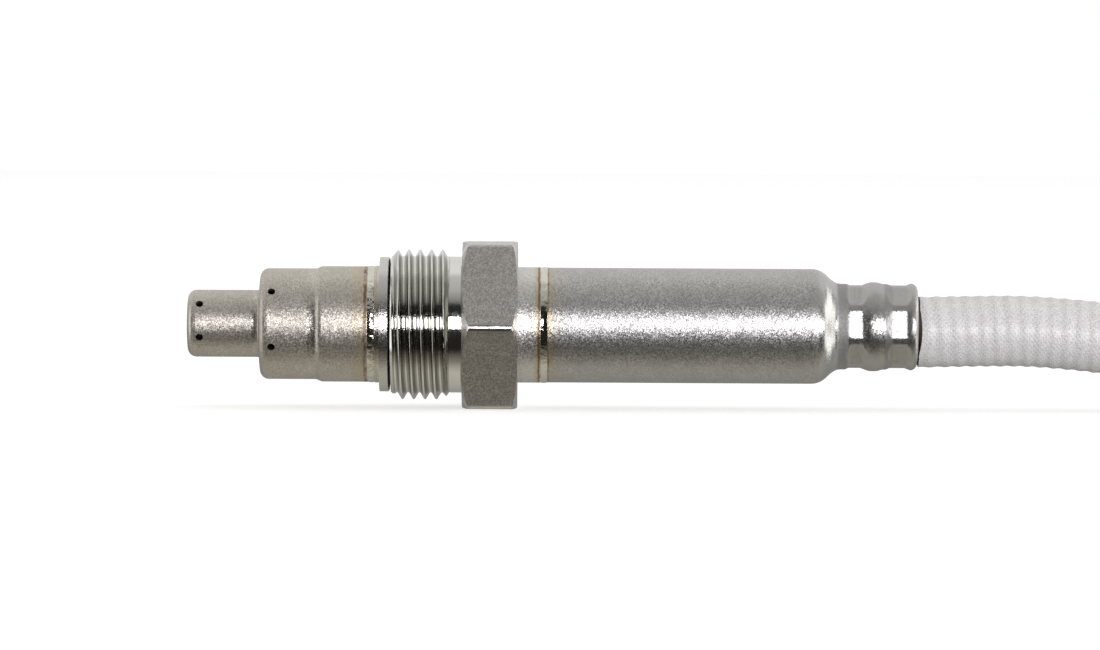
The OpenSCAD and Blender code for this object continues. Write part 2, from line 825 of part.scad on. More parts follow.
// The folded part of the lead: a loop on the ties, and half a loop more on top of it
module lead_hank() {
    run_l = hank_x1 - hank_x0;
    color("gainsboro") {
        translate([0, 0, hank_z])
            linear_extrude(height = lead_d) {
                translate([hank_x0, hank_y0 - lead_r]) square([run_l, lead_d]);
                translate([hank_x0, hank_y1 - lead_r]) square([run_l, lead_d]);
                fold(hank_x1, 1);
                difference() {
                    fold(hank_x0, -1);
                    translate([hank_x0 - hank_fold_r * 2, hank_y0 - lead_r])
                        square(hank_fold_r * [2, 1] + [0, lead_r]);
                }
            }
        translate([0, 0, hank_z + lead_d])
            linear_extrude(height = lead_d) {
                translate([hank_x0, hank_y0 - lead_r]) square([run_l, lead_d]);
                translate([hank_x1 - hank_tail_l, hank_y1 - lead_r])
                    square([hank_tail_l, lead_d]);
                fold(hank_x0, -1);
                fold(hank_x1, 1);
            }
    }
}

// Bands round two turns of the hank, each with its head on top
module hank_ties() {
    w = lead_d + 2 * tie_gap;
    h = 2 * lead_d + 2 * tie_gap;
    color("dimgray")
        for (p = tie_places)
            translate([p[0] - tie_w / 2, p[1], hank_z + lead_d])
                difference() {
                    union() {
                        rounded_bar_x(0, tie_w, w + 2 * tie_t, h + 2 * tie_t, tie_t);
                        translate([0, -tie_head, h / 2])
                            cube([tie_w, 2 * tie_head, tie_t + tie_head]);
                    }
                    box_x(-axis_cut, tie_w + axis_cut, w, h);
                }
}

// Moves the connector, drawn with its cable entry at the origin and its nose on +X
module plug_place() {
    translate([plug_x, hank_y1, plug_z]) rotate([0, 0, 180]) children();
}

module connector_cap() {
    color("dimgray")
        plug_place() {
            bar_x(0, plug_entry_l + axis_cut, plug_entry_d);
            rounded_bar_x(plug_entry_l, plug_body_x - fit, plug_w, plug_h, plug_corner_r);
        }
}

// Moulded housing: body, nose with eight cavities, pocket for the lock plate, lock ramp
module connector_housing() {
    color("darkslategray")
        plug_place()
            difference() {
                union() {
                    rounded_bar_x(plug_body_x, nose_x, plug_w, plug_h, plug_corner_r);
                    rounded_bar_x(nose_x - axis_cut, nose_x1, nose_w, nose_h,
                        plug_corner_r - 1);
                    translate([nose_x - 2 - ramp_l, ramp_w / 2, plug_h / 2 - axis_cut])
                        rotate([90, 0, 0])
                            linear_extrude(height = ramp_w)
                                polygon([[0, 0], [0, ramp_h], [ramp_l / 3, ramp_h],
                                    [ramp_l, 0]]);
                }
                rounded_bar_x(nose_x1 - plate_t, nose_x1 + 1, nose_w - 2, nose_h - 2, 0.5);
                for (p = cavity_places)
                    translate([0, p[0], p[1]])
                        box_x(nose_x1 - plate_t - socket_l - 0.5, nose_x1, cavity_w,
                            cavity_w);
            }
}

module connector_seal() {
    x0 = nose_x + fit;
    w = nose_w + 2 * nose_seal_t;
    h = nose_h + 2 * nose_seal_t;
    color("orangered")
        plug_place()
            difference() {
                rounded_bar_x(x0, x0 + nose_seal_l, w, h, plug_corner_r);
                rounded_bar_x(x0 - 1, x0 + nose_seal_l + 1, nose_w + 2 * fit,
                    nose_h + 2 * fit, plug_corner_r - 1);
            }
}

module connector_lock_plate() {
    color("orange")
        plug_place()
            difference() {
                rounded_bar_x(nose_x1 - plate_t + fit, nose_x1, nose_w - 2 - 2 * fit,
                    nose_h - 2 - 2 * fit, 0.5);
                for (p = cavity_places)
                    translate([0, p[0], p[1]])
                        bar_x(nose_x1 - plate_t - 1, nose_x1 + 1, socket_bore_d + 0.3,
                            small_fn);
            }
}

module connector_sockets() {
    x1 = nose_x1 - plate_t;
    color("gold")
        plug_place()
            for (p = cavity_places)
                translate([0, p[0], p[1]])
                    difference() {
                        bar_x(x1 - socket_l, x1, socket_d, small_fn);
                        bar_x(x1 - socket_l / 2, x1 + 1, socket_bore_d, small_fn);
                    }
}

outer_cover();
inner_cover();
main_shell();
mounting_nut();
sensing_element();
front_insulator();
front_talc_ring();
middle_insulator();
rear_talc_ring();
rear_insulator();
packing_ring();
casing_tube();
upper_contact_housing();
lower_contact_housing();
upper_contacts();
lower_contacts();
clamp_band();
housing_retainer();
crimp_ferrules();
lead_wires();
cable_grommet();
lead_sleeve();
lead_hank();
hank_ties();
connector_housing();
connector_cap();
connector_seal();
connector_lock_plate();
connector_sockets();
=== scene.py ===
import math

import bpy
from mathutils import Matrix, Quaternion, Vector


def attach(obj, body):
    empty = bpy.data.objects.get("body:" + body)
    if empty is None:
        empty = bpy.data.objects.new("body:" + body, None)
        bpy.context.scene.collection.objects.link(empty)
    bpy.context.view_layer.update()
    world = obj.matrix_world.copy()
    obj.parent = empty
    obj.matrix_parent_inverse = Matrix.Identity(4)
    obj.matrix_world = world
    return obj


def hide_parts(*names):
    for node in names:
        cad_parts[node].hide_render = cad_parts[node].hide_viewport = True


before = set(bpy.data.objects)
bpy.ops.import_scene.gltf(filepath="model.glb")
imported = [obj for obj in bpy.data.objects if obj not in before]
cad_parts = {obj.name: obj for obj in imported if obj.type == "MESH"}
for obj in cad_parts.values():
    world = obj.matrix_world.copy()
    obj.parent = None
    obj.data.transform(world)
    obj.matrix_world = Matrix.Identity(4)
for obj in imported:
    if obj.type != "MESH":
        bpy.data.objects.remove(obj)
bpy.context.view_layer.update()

MM = 0.001

# The photograph: its width in pixels, its scale and the pixel column of the seat face
PHOTO_W = 1100
PX_PER_MM = 7.5
SEAT_PX = 380.1

# The camera looks along +Y from a little above; lengths in metres, the sensor in millimetres
CAMERA_DISTANCE = 0.825
CAMERA_ELEVATION = math.radians(2)
CAMERA_ROLL = math.radians(0.31)
CLIP_START = 0.01
SENSOR_W = 36

# The lead from the grommet to the connector, as in the CAD, in millimetres
LEAD_D = 9.5
FLOOR_Z = -11
TIE_T = 0.8
TIE_GAP = 0.05
LOWER_Z = FLOOR_Z + TIE_T + TIE_GAP + LEAD_D / 2
UPPER_Z = LOWER_Z + LEAD_D
FOLD_R = 28.5
HANK_X0 = 147
HANK_X1 = 225
HANK_Y0 = -9.5
HANK_Y1 = HANK_Y0 + 2 * FOLD_R
HANK_TAIL = 24
ENTRY_RISE = 1.2
LEAD_ROUTE = [
    (72.07, 0.2, -0.7), (76, 0.2, -0.6), (81, 0.2, -0.5), (86, 0.1, -0.5), (91, 0, -0.8),
    (96, -0.2, -1.3), (101, -0.6, -2.1), (106, -1.2, -3.1), (111, -2.1, -4.1),
    (116, -3.3, -4.9), (121, -4.7, -5.4), (126, -6.2, LOWER_Z), (131, -7.6, LOWER_Z),
    (136, -8.7, LOWER_Z), (141, -9.3, LOWER_Z), (HANK_X0, HANK_Y0, LOWER_Z),
]
SLEEVE_X0 = LEAD_ROUTE[0][0]

# The part of the middle fold over which the lead climbs to the hank's upper layer
CLIMB = (0.05, 0.62)

# Steps of the lead's line: between two points of its route, round a fold and along the tail
ROUTE_STEPS = 8
FOLD_STEPS = 48
TAIL_STEPS = 12

# The sleeve's helical ripple and wall, in millimetres
RIPPLE_PITCH = 1.85
RIPPLE_HEIGHT = 0.06
SLEEVE_WALL = 0.65
RINGS_PER_RIPPLE = 6
LEAD_SIDES = 36

# The sleeve's front end: it reaches back to the rim except on the side with the dark crescent
END_REACH = 0.45
END_TAPER = 3
CRESCENT_MIDDLE = math.radians(170)
CRESCENT_HALF = math.radians(48)

# The nut's bore and ends, from the seat face, in millimetres
NUT_X0 = 1.5
NUT_X1 = 18.33
NUT_BORE_R = 7.78
NUT_FACE_R = 9.0

# Its M20 x 1.5 thread with a tapered lead and a run-out into the relief
THREAD_MAJOR_R = 10
THREAD_ROOT_R = 9.08
THREAD_PITCH = 1.5
THREAD_PHASE = 0.45
CREST_ROUND_R = 0.162
ROOT_ROUND_R = 0.217
ROUND_ANGLES = (-60, -40, -20, 0, 20, 40, 60)
FLANK_STEP = 0.06
FLANK_HALF_ANGLE = math.radians(30)
LEAD_IN = 0.93
THREAD_X1 = 8.83
RUN_OUT = 0.4
RUN_OUT_SLOPE = 1.5
RELIEF_X0 = THREAD_X1 + 0.5
RELIEF_R = 9.07
RELIEF_CHAMFER = 0.15

# Its hexagon with bevelled corners and rounded edges; its end faces start HEX_FACE_STEP inside
# the flats, and the facet worn at an edge's ends is EDGE_WEAR times as large as the edge stands
# out from where its rounding starts
HEX_X0 = 10.98
HEX_AF = 22
HEX_FRONT_BEVEL = 0.9
HEX_REAR_BEVEL = 0.65
HEX_FACE_STEP = 0.05
HEX_EDGE_R = 1
EDGE_WEAR = 1.5
FLAT_STEPS = 22
EDGE_STEPS = 8
HALF_SIDE_ANGLE = math.pi / 6
HEX_APOTHEM = HEX_AF / 2
HEX_CORNER_R = HEX_APOTHEM / math.cos(HALF_SIDE_ANGLE)

# Half the angle that one rounded edge takes up about the axis
EDGE_ANGLE = math.atan2(
    HEX_EDGE_R / 2, HEX_CORNER_R - math.tan(HALF_SIDE_ANGLE) / 2 * HEX_EDGE_R
)

# The nut's surfaces, in the order of its materials
# The nut's bore is painted nearly black: painted shade in the gap round the shell's barrel
TURNED, MILLED, SHADED_BORE, WORN = range(4)

# Edges that bend more than these angles in degrees stay sharp, and the nut's points that are
# nearer than this in millimetres become one
LEAD_SHARP = 60
NUT_SHARP = 24
MERGE_WITHIN = 0.002


def mesh_object(name, points, faces, material_index=None):
    """A mesh piece in the row frame from points in millimetres."""
    mesh = bpy.data.meshes.new(name)
    mesh.from_pydata([Vector(p) * MM for p in points], [], faces)
    if material_index:
        mesh.polygons.foreach_set("material_index", material_index)
    mesh.update()
    obj = bpy.data.objects.new(name, mesh)
    bpy.context.scene.collection.objects.link(obj)
    return obj


def smooth(obj, sharp_angle):
    """Smooth shading with edges kept sharp above an angle in degrees."""
    for polygon in obj.data.polygons:
        polygon.use_smooth = True
    obj.data.set_sharp_from_angle(angle=math.radians(sharp_angle))


def quads(rows, count):
    """Faces between neighbouring rows of points, each row closed on itself."""
    faces = []
    for i in range(rows - 1):
        for k in range(count):
            a = i * count + k
            b = i * count + (k + 1) % count
            faces.append((a, b, b + count, a + count))
    return faces


# Camera


def add_camera():
    """The camera of the photograph, aimed at the probe's axis."""
    data = bpy.data.cameras.new("camera")
    data.sensor_width = SENSOR_W
    data.lens = SENSOR_W * CAMERA_DISTANCE / (PHOTO_W / PX_PER_MM * MM)
    data.clip_start = CLIP_START
    camera = bpy.data.objects.new("camera", data)
    middle_x = (PHOTO_W / 2 - SEAT_PX) / PX_PER_MM * MM
    back = Vector((0, -math.cos(CAMERA_ELEVATION), math.sin(CAMERA_ELEVATION)))
    camera.location = Vector((middle_x, 0, 0)) + back * CAMERA_DISTANCE
    camera.rotation_mode = "QUATERNION"
    upright = (-back).to_track_quat("-Z", "Y")
    camera.rotation_quaternion = upright @ Quaternion((0, 0, 1), CAMERA_ROLL)
    bpy.context.scene.collection.objects.link(camera)
    bpy.context.scene.camera = camera


# The lead


def through(points, steps):
    """Points on one smooth curve through the given ones, without the last."""
    padded = [2 * points[0] - points[1], *points, 2 * points[-1] - points[-2]]
    curve = []
    for a, b, c, d in zip(padded, padded[1:], padded[2:], padded[3:]):
        for i in range(steps):
            t = i / steps
            bend = 2 * a - 5 * b + 4 * c - d
            twist = 3 * b - a - 3 * c + d
            curve.append((2 * b + (c - a) * t + bend * t**2 + twist * t**3) / 2)
    return curve


def eased(t):
    """0 to 1 with a soft start and end."""
    t = min(max(t, 0), 1)
    return t * t * (3 - 2 * t)


def fold(x, start, z0, z1, climb=(0, 1)):
    """Half a turn of the hank about x, from an angle in degrees, rising from z0 to z1."""
    middle_y = HANK_Y0 + FOLD_R
    points = []
    for i in range(FOLD_STEPS + 1):
        share = i / FOLD_STEPS
        a = math.radians(start + 180 * share)
        z = z0 + (z1 - z0) * eased((share - climb[0]) / (climb[1] - climb[0]))
        points.append(Vector((x + FOLD_R * math.cos(a), middle_y + FOLD_R * math.sin(a), z)))
    return points


def lead_line():
    """The lead's centreline from the grommet to the connector, in millimetres."""
    line = through([Vector(p) for p in LEAD_ROUTE], ROUTE_STEPS)
    line += fold(HANK_X1, -90, LOWER_Z, LOWER_Z)
    line += fold(HANK_X0, 90, LOWER_Z, UPPER_Z, CLIMB)
    line += fold(HANK_X1, -90, UPPER_Z, UPPER_Z)
    for i in range(1, TAIL_STEPS + 1):
        t = i / TAIL_STEPS
        line.append(Vector((HANK_X1 - HANK_TAIL * t, HANK_Y1, UPPER_Z + ENTRY_RISE * eased(t))))
    return line


def evenly(line, step):
    """The line's points again, an even step apart, and their distances along it."""
    points = [line[0]]
    places = [0]
    travelled = 0
    wanted = step
    for a, b in zip(line, line[1:]):
        length = (b - a).length
        while length > 0 and travelled + length >= wanted:
            points.append(a.lerp(b, (wanted - travelled) / length))
            places.append(wanted)
            wanted += step
        travelled += length
    points.append(line[-1])
    places.append(travelled)
    return points, places


def tube_frames(points):
    """Two directions square to the line at each point, turned as little as possible."""
    side = Vector((0, 1, 0))
    last = len(points) - 1
    frames = []
    for i in range(len(points)):
        ahead = (points[min(i + 1, last)] - points[max(i - 1, 0)]).normalized()
        side = (side - ahead * side.dot(ahead)).normalized()
        frames.append((side, ahead.cross(side)))
    return frames


def end_reach(angle, place):
    """How far a point of the sleeve is drawn back over the grommet, by its angle and place."""
    aside = abs((angle - CRESCENT_MIDDLE + math.pi) % math.tau - math.pi) / CRESCENT_HALF
    return END_REACH * min(aside**2, 1) * max(1 - place / END_TAPER, 0)


def sleeve_points(line, places):
    """Rings of rippled sleeve round the line; the first one is the inner edge of its end."""
    points = []
    for i, (centre, place, (side, up)) in enumerate(zip(line, places, tube_frames(line))):
        for k in range(LEAD_SIDES):
            turn = k / LEAD_SIDES
            wave = math.cos(math.tau * (place / RIPPLE_PITCH - turn))
            r = LEAD_D / 2 - RIPPLE_HEIGHT + RIPPLE_HEIGHT * wave
            a = math.tau * turn
            point = centre + side * r * math.cos(a) + up * r * math.sin(a)
            if i == 0:
                point = centre + (point - centre) * (1 - SLEEVE_WALL / r)
            else:
                point.x -= end_reach(a, place)
            points.append(point)
    return points


def add_lead():
    """The sleeved lead as one tube, with a UV map in metres for its weave."""
    line, places = evenly(lead_line(), RIPPLE_PITCH / RINGS_PER_RIPPLE)
    line.insert(0, line[0])
    places.insert(0, 0)
    rings = len(line)
    last_ring = (rings - 1) * LEAD_SIDES
    faces = quads(rings, LEAD_SIDES)
    faces.append(list(range(LEAD_SIDES))[::-1])
    faces.append([last_ring + k for k in range(LEAD_SIDES)])
    cut_end_first = [1] * LEAD_SIDES + [0] * (len(faces) - LEAD_SIDES)
    lead = mesh_object("lead", sleeve_points(line, places), faces, cut_end_first)
    smooth(lead, LEAD_SHARP)
    corners = []
    for i in range(rings - 1):
        for k in range(LEAD_SIDES):
            corners += [(k, i), (k + 1, i), (k + 1, i + 1), (k, i + 1)]
    corners += [(0, 0)] * (2 * LEAD_SIDES)
    around = math.pi * LEAD_D * MM
    uv = lead.data.uv_layers.new(name="along")
    for loop, (k, i) in zip(uv.data, corners):
        loop.uv = (k / LEAD_SIDES * around, places[i] * MM)
    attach(lead, "probe")
    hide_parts("lead_sleeve", "lead_hank")
    return lead


# The nut


def hexagon_r(angle):
    """The hexagon's radius at an angle in radians from a corner, with rounded edges."""
    t = abs((angle + HALF_SIDE_ANGLE) % (2 * HALF_SIDE_ANGLE) - HALF_SIDE_ANGLE)
    if t < EDGE_ANGLE:
        centre = HEX_CORNER_R - HEX_EDGE_R / math.cos(HALF_SIDE_ANGLE)
        return centre * math.cos(t) + math.sqrt(HEX_EDGE_R**2 - (centre * math.sin(t)) ** 2)
    return HEX_APOTHEM / math.cos(HALF_SIDE_ANGLE - t)


def nut_angles():
    """Angles about X, from +Y towards +Z, closer together on the hexagon's edges."""
    side = 2 * HALF_SIDE_ANGLE
    sector = [EDGE_ANGLE * (2 * i / EDGE_STEPS - 1) for i in range(EDGE_STEPS)]
    sector += [EDGE_ANGLE + (side - 2 * EDGE_ANGLE) * i / FLAT_STEPS for i in range(FLAT_STEPS)]
    return [side * s + a for s in range(6) for a in sector]


def rounding(x, tip_r, round_r, sign):
    """Points over a rounded crest (sign 1) or root (sign -1) and a point on both flanks.

    The point on the rear flank comes before the round's last one, so the outline folds back
    there by FLANK_STEP and shows as a fine line along the thread.
    """
    points = []
    for degrees in ROUND_ANGLES:
        a = math.radians(degrees)
        points.append((x + round_r * math.sin(a), tip_r - sign * round_r * (1 - math.cos(a))))
    dx = FLANK_STEP / 2
    dr = sign * FLANK_STEP * math.cos(FLANK_HALF_ANGLE)
    first_x, first_r = points[0]
    last_x, last_r = points[-1]
    points.insert(0, (first_x - dx, first_r - dr))
    points.insert(-1, (last_x + dx, last_r - dr))
    return points


def thread_profile():
    """One pitch of the thread from its crest, as (x, r), with flanks at 60 degrees."""
    crest = rounding(0, THREAD_MAJOR_R, CREST_ROUND_R, 1)
    return crest + rounding(THREAD_PITCH / 2, THREAD_ROOT_R, ROOT_ROUND_R, -1)


def thread_line(angle):
    """Points (x, r) of the thread at an angle about X: a right-hand helix with a tapered lead."""
    x1 = THREAD_X1 + RUN_OUT
    points = []
    for n in range(-2, math.ceil(x1 / THREAD_PITCH) + 1):
        for along, r in thread_profile():
            x = THREAD_PHASE + THREAD_PITCH * (n + angle / math.tau) + along
            lead_in = NUT_FACE_R + max(x - NUT_X0, 0) / LEAD_IN * (THREAD_MAJOR_R - NUT_FACE_R)
            run_out = max(THREAD_ROOT_R + max(x1 - x, 0) * RUN_OUT_SLOPE, RELIEF_R)
            inside = NUT_X0 < x < x1
            points.append((
                min(max(x, NUT_X0), x1),
                min(r, lead_in, run_out) if inside else NUT_FACE_R,
            ))
    return points


def nut_line(angle):
    """The nut's outline (x, r, surface) at an angle about X."""
    r = hexagon_r(angle)
    share = (r - HEX_APOTHEM) / (HEX_CORNER_R - HEX_APOTHEM)
    front = HEX_X0 + share * HEX_FRONT_BEVEL
    rear = NUT_X1 - share * HEX_REAR_BEVEL
    wear = EDGE_WEAR * max(r - hexagon_r(EDGE_ANGLE), 0)
    face_r = HEX_APOTHEM - HEX_FACE_STEP
    return [
        (NUT_X1, NUT_BORE_R, SHADED_BORE),
        (NUT_X0, NUT_BORE_R, SHADED_BORE),
        *[(x, thread_r, TURNED) for x, thread_r in thread_line(angle)],
        (RELIEF_X0, RELIEF_R, TURNED),
        (HEX_X0 - RELIEF_CHAMFER, RELIEF_R, TURNED),
        (HEX_X0, RELIEF_R + RELIEF_CHAMFER, TURNED),
        (HEX_X0, face_r, MILLED),
        (front - wear / 2, r - wear, MILLED),
        (front + wear, r, MILLED),
        (rear - wear, r, MILLED),
        (rear + wear / 2, r - wear, MILLED),
        (NUT_X1, face_r, TURNED),
    ]


def add_nut():
    """The whole nut in one mesh: bore, threaded sleeve, relief and bevelled hexagon."""
    # The last angle is the first again, a turn and so a pitch of the thread later
    angles = nut_angles() + [math.tau - EDGE_ANGLE]
    points = []
    surfaces = []
    for i, angle in enumerate(angles):
        on_edge = i % (EDGE_STEPS + FLAT_STEPS) < EDGE_STEPS
        for x, r, surface in nut_line(angle):
            points.append((x, r * math.cos(angle), r * math.sin(angle)))
            surfaces.append(WORN if on_edge and surface == MILLED else surface)
    faces = quads(len(angles), len(nut_line(0)))
    nut = mesh_object("nut_threaded", points, faces, surfaces[:len(faces)])
    merge = nut.modifiers.new("weld", "WELD")
    merge.merge_threshold = MERGE_WITHIN * MM
    smooth(nut, NUT_SHARP)
    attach(nut, "nut")
    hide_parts("mounting_nut")
    return nut


# Materials


# Linear colours of the metal, its heat tint, its welds and the painted shade in the shell's gap
TURNED_STEEL = (0.57, 0.56, 0.54)
COVER_STEEL = (0.63, 0.59, 0.53)
CASING_STEEL = (0.54, 0.53, 0.52)
LAND_STEEL = (0.67, 0.655, 0.63)
MILLED_STEEL = (0.6, 0.575, 0.55)
GOLD_TINT = (0.5, 0.4, 0.21)
BROWN_TINT = (0.2, 0.12, 0.06)
WELD_PALE = (0.63, 0.61, 0.54)
POLISHED_STEEL = (0.68, 0.67, 0.64)
FLANK_STEEL = (0.41, 0.405, 0.375)
# Painted shade, nearly black, for the gap between the shell's barrel and the nut
PAINTED_GAP_SHADE = (0.02, 0.018, 0.016)
BLACK = (0, 0, 0)

# Blasting leaves cells of this size in millimetres, each leaning another way
BLAST_CELL = 0.15
BLAST_LEAN = 0.18

# Weld beads along X, in millimetres: the soft width of their sides and the depth of their lumps
FRONT_WELD = (-1.56, -0.62)
REAR_WELD = (21.4, 22.3)
BEAD_SOFT = 0.06
BEAD_LUMPS = 0.42

# How far the rear bead's surface leans along X, from its front side to its rear one
BEAD_LEAN = (0.05, -0.22)

# Bands of heat tint: where they start and end along X, how soft, how strong, which colour
COVER_TINT = (
    (-3.5, -1.6, 0.8, 0.38, GOLD_TINT),
    (-2.05, -1.65, 0.1, 0.9, BROWN_TINT),
    (-0.5, -0.25, 0.08, 0.6, GOLD_TINT),
)
CASING_TINT = (
    (22.35, 23.1, 0.3, 0.55, GOLD_TINT),
    (22.3, 22.5, 0.06, 0.8, BROWN_TINT),
    (23.4, 24.2, 0.4, 0.2, GOLD_TINT),
)
SHELL_TINT = (
    (-0.5, -0.25, 0.08, 0.7, GOLD_TINT),
    (21.02, 21.32, 0.08, 1, BROWN_TINT),
    (20.6, 21.2, 0.3, 0.4, GOLD_TINT),
)

# Slow flares of the cover: where they start and end along X, and how far they lean there
COVER_FLARES = (
    (-25.7, -24.9, -0.3, 0.0),
    (-17, -16.3, 0.0, -0.3),
    (-9.5, -8.05, 0.0, -0.25),
)
FLARE_SOFT = 0.08

# The casing's drawn shoulder, the scuffs on its neck with their added roughness and their darker
# colour of painted shade, and the radius of the jaw prints' edges
SHOULDER = (58.3, 60.7)
SHOULDER_SOFT = 0.3
SCUFFS_AND_SHADE = (
    (60.8, 62.2, 0.36),
    (67.1, 68.1, 0.16),
)
SCUFF_AND_SHADE_SOFT = 0.2
PRINT_EDGE_R = 0.35

# The gap between the shell's barrel and the nut, painted nearly black as painted shade
GAP_X0 = 1.1
GAP_X1 = NUT_X1 - 0.4
GAP_R = 8.7

# The sleeve's crossed threads: their spacing in millimetres and their slant round the lead
WEAVE_PITCH = 0.62
WEAVE_SLANT = 0.8

# The sleeve's two cloudy tones, and the colours of its raised threads and its gaps
SLEEVE_TONES = ((0.66, 0.64, 0.64), (0.72, 0.7, 0.7))
SLEEVE_THREAD = (0.8, 0.79, 0.8)
SLEEVE_GAP = (0.54, 0.52, 0.52)

# The grommet turns from black painted shadow to brown between these distances in front of the
# sleeve
LIP = (0.27, 0.17)
GROMMET_SHADOW = (0.012, 0.01, 0.009)
GROMMET_BROWN = (0.26, 0.12, 0.06)

# Radii of the thread: the polish of its roots fades over the first two, that of its crests
# starts over the last two
ROOT_POLISH = (9.12, 9.25)
CREST_POLISH = (9.85, 9.93)


def darker(colour, factor):
    """A colour times a factor; a factor above 1 makes it lighter."""
    return tuple(c * factor for c in colour)


class Look:
    """A node material under construction; most calls add a node and return its output."""

    def __init__(self, name, colour, roughness, metallic=0):
        self.material = bpy.data.materials.new(name)
        self.material.use_nodes = True
        self.tree = self.material.node_tree
        self.shader = self.tree.nodes["Principled BSDF"]
        self.place = None
        self.set("Base Color", (*colour, 1))
        self.set("Roughness", roughness)
        self.set("Metallic", metallic)

    def fill(self, socket, value):
        """Gives an input a plain value or the output of a node."""
        if isinstance(value, bpy.types.NodeSocket):
            self.tree.links.new(value, socket)
        else:
            socket.default_value = value

    def set(self, name, value):
        """Sets one input of the surface's shader."""
        self.fill(self.shader.inputs[name], value)

    def node(self, kind, inputs, output=0, **settings):
        """One output of a new node whose inputs and settings are given."""
        node = self.tree.nodes.new(kind)
        for key, value in settings.items():
            setattr(node, key, value)
        for key, value in inputs.items():
            self.fill(node.inputs[key], value)
        return node.outputs[output]

    def math(self, operation, a, b=0.0):
        return self.node("ShaderNodeMath", {0: a, 1: b}, operation=operation)

    def vector(self, operation, a, b=(0, 0, 0)):
        return self.node("ShaderNodeVectorMath", {0: a, 1: b}, operation=operation)

    def position(self):
        """The place on the piece in its rest pose, in metres."""
        if self.place is None:
            self.place = self.node("ShaderNodeTexCoord", {}, output="Object")
        return self.place

    def along(self, axis):
        """One coordinate of the place, in millimetres."""
        value = self.node("ShaderNodeSeparateXYZ", {0: self.position()}, output=axis)
        return self.math("MULTIPLY", value, 1000)

    def radius(self):
        """The distance from the X axis, in millimetres."""
        sides = [self.along(axis) for axis in ("Y", "Z")]
        squares = [self.math("MULTIPLY", side, side) for side in sides]
        return self.math("SQRT", self.math("ADD", *squares))

    def noise(self, size, detail=2, stretch=(1, 1, 1)):
        """Noise from 0 to 1 with blotches of a size in millimetres."""
        place = self.vector("MULTIPLY", self.position(), stretch)
        inputs = {"Vector": place, "Scale": 1000 / size, "Detail": detail}
        return self.node("ShaderNodeTexNoise", inputs)

    def cells(self):
        """The cells of a blasted surface, each with a level of its own from 0 to 1."""
        inputs = {"Vector": self.position(), "Scale": 1000 / BLAST_CELL}
        return self.node("ShaderNodeTexVoronoi", inputs, output="Color")

    def surface(self):
        """The mesh's own normal."""
        return self.node("ShaderNodeNewGeometry", {}, output="Normal")

    def leaning(self, normal, x):
        """A normal with an amount added along X."""
        lean = self.node("ShaderNodeCombineXYZ", {"X": x})
        return self.vector("NORMALIZE", self.vector("ADD", normal, lean))

    def tilted(self, normal, amount):
        """A normal that leans another way in each cell, as blasting leaves a surface."""
        lean = self.vector("SUBTRACT", self.cells(), (0.5, 0.5, 0.5))
        lean = self.node("ShaderNodeVectorMath", {0: lean, "Scale": amount}, operation="SCALE")
        return self.vector("NORMALIZE", self.vector("ADD", lean, normal))

    def bump(self, height, distance, strength=1.0, normal=None):
        """Bump from a height, with its full depth in millimetres."""
        inputs = {"Height": height, "Distance": distance * MM, "Strength": strength}
        if normal:
            inputs["Normal"] = normal
        return self.node("ShaderNodeBump", inputs)

    def between(self, value, low, high, to_low=0.0, to_high=1.0):
        """A smooth step of a value from one level to another."""
        inputs = {"Value": value, 1: low, 2: high, 3: to_low, 4: to_high}
        return self.node("ShaderNodeMapRange", inputs, interpolation_type="SMOOTHSTEP")

    def band(self, value, low, high, soft):
        """1 between two levels, 0 outside them, with soft ends."""
        rise = self.between(value, low - soft, low + soft)
        fall = self.between(value, high - soft, high + soft, 1.0, 0.0)
        return self.math("MULTIPLY", rise, fall)

    def sum(self, start, *terms):
        """A start value plus each value times its weight."""
        total = start
        for value, weight in terms:
            total = self.math("ADD", total, self.math("MULTIPLY", value, weight))
        return total

    def mix(self, factor, a, b):
        """Colour b over colour a."""
        node = self.tree.nodes.new("ShaderNodeMix")
        node.data_type = "RGBA"
        for key, value in (("Factor", factor), ("A", a), ("B", b)):
            socket = next(s for s in node.inputs if s.name == key and s.enabled)
            self.fill(socket, (*value, 1) if isinstance(value, tuple) else value)
        return next(s for s in node.outputs if s.enabled)

    def tinted(self, shade, x, tints, raggedness, patches=1.0):
        """A shade under ragged bands of heat tint across X."""
        ragged = self.math("SUBTRACT", self.noise(0.8, 4), 0.5)
        x_ragged = self.sum(x, (ragged, raggedness))
        for low, high, soft, strength, tint in tints:
            band = self.math("MULTIPLY", self.band(x_ragged, low, high, soft), strength)
            shade = self.mix(self.math("MULTIPLY", band, patches), shade, tint)
        return shade

    def blasted(self, colour, x, tints):
        """Cloudy steel with a grain of darker cells, under patchy heat tint."""
        cloud = self.between(self.noise(3, 3), 0.3, 0.7)
        shade = self.mix(cloud, colour, darker(colour, 0.88))
        grain = self.between(self.cells(), 0.2, 0.8)
        shade = self.mix(grain, darker(colour, 0.7), shade)
        patches = self.between(self.noise(1.4, 3), 0.3, 0.65, 0.35, 1.0)
        return self.tinted(shade, x, tints, 0.5, patches)

    def blasted_roughness(self, middle):
        """A roughness that differs a little from cell to cell."""
        return self.between(self.cells(), 0.2, 0.8, middle - 0.04, middle + 0.04)


